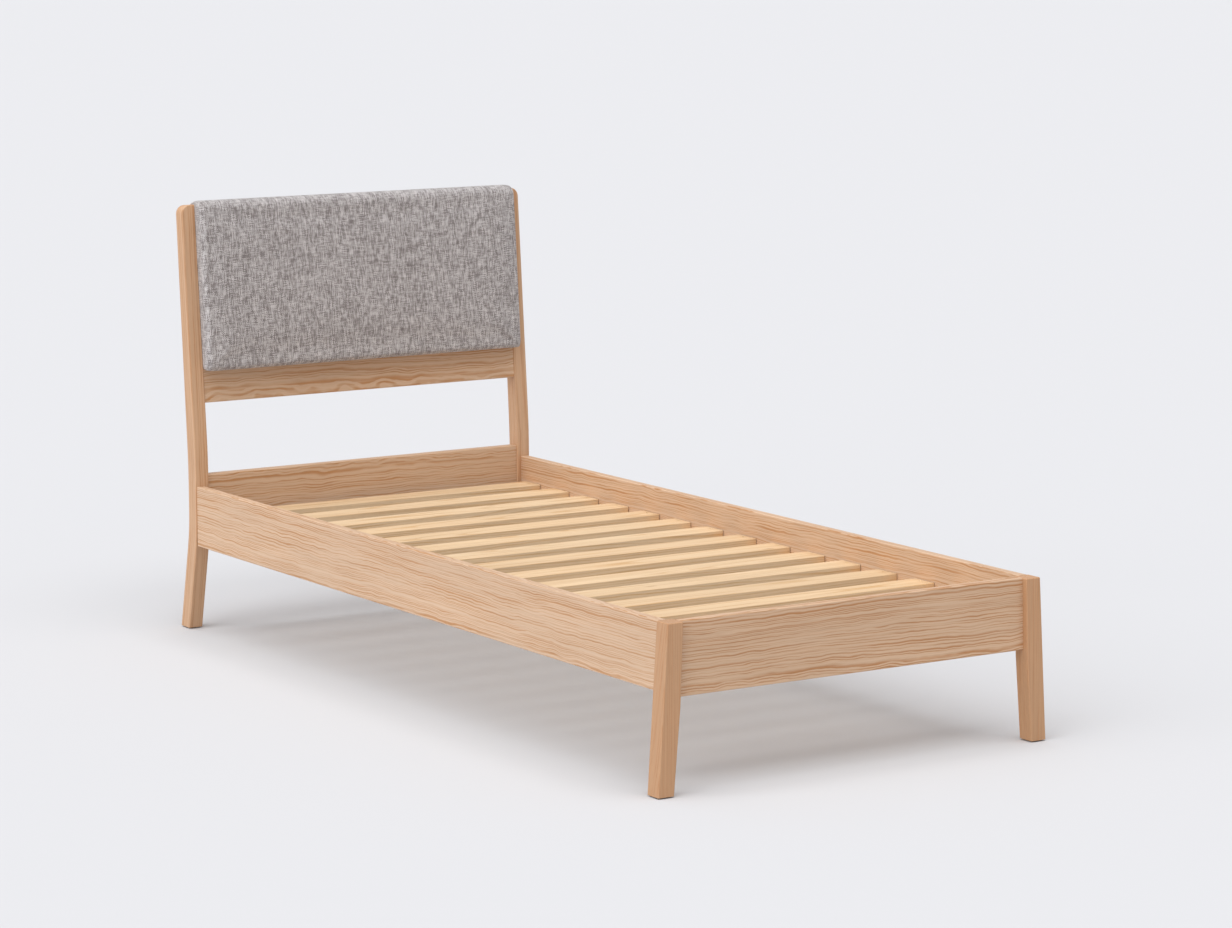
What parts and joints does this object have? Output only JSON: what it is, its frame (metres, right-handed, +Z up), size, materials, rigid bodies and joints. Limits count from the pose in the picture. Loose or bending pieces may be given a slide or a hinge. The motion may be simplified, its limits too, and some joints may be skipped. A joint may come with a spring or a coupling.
{
  "type": "bed frame",
  "caption": "Single bed frame in light oak with splayed legs, deep rails, a slatted base and a raked headboard with an upholstered pad over a bare lower rail.",
  "frame": {"origin": "on the floor, at the middle of the bed's overall width and length", "axes": "+Z up; +Y along the bed from the foot end to the head end; +X across the bed"},
  "size_m": [1.0066, 2.1778, 1.0612],
  "materials": {
    "oak": "clear matt lacquer on light oak",
    "pine": "planed, unfinished",
    "plywood": "raw birch plywood",
    "beech": "fluted dowel rod, unfinished",
    "foam": "upholstery foam",
    "headboard_fabric": "heathered taupe-grey upholstery weave",
    "lining_cloth": "black non-woven lining",
    "zinc_steel": "zinc plated",
    "screw_steel": "yellow zinc plated",
    "glide_plastic": "dark brown nylon"
  },
  "bodies": {
    "root": {"head_post_left": "oak", "head_post_right": "oak", "head_rail": "oak", "headboard_lower_rail": "oak", "foot_leg_left": "oak", "foot_leg_right": "oak", "foot_rail": "oak", "side_rail_left": "oak", "side_rail_right": "oak", "headboard_top_rail": "pine", "slat_cleat_left": "pine", "slat_cleat_right": "pine", "slat_01": "pine", "slat_02": "pine", "slat_03": "pine", "slat_04": "pine", "slat_05": "pine", "slat_06": "pine", "slat_07": "pine", "slat_08": "pine", "slat_09": "pine", "slat_10": "pine", "slat_11": "pine", "slat_12": "pine", "slat_13": "pine", "slat_14": "pine", "slat_15": "pine", "headboard_panel": "plywood", "headboard_foam": "foam", "headboard_cover": "headboard_fabric", "headboard_lining": "lining_cloth", "headboard_dowels": "beech", "hook_plate_foot_left": "zinc_steel", "strike_plate_foot_left": "zinc_steel", "floor_glide_foot_left": "glide_plastic", "hook_plate_foot_right": "zinc_steel", "strike_plate_foot_right": "zinc_steel", "floor_glide_foot_right": "glide_plastic", "hook_plate_head_left": "zinc_steel", "strike_plate_head_left": "zinc_steel", "floor_glide_head_left": "glide_plastic", "hook_plate_head_right": "zinc_steel", "strike_plate_head_right": "zinc_steel", "floor_glide_head_right": "glide_plastic", "hook_plate_screws": "screw_steel", "strike_plate_screws": "screw_steel", "cleat_screws": "screw_steel", "slat_screws": "screw_steel", "panel_screws": "screw_steel"}
  },
  "joints": []
}
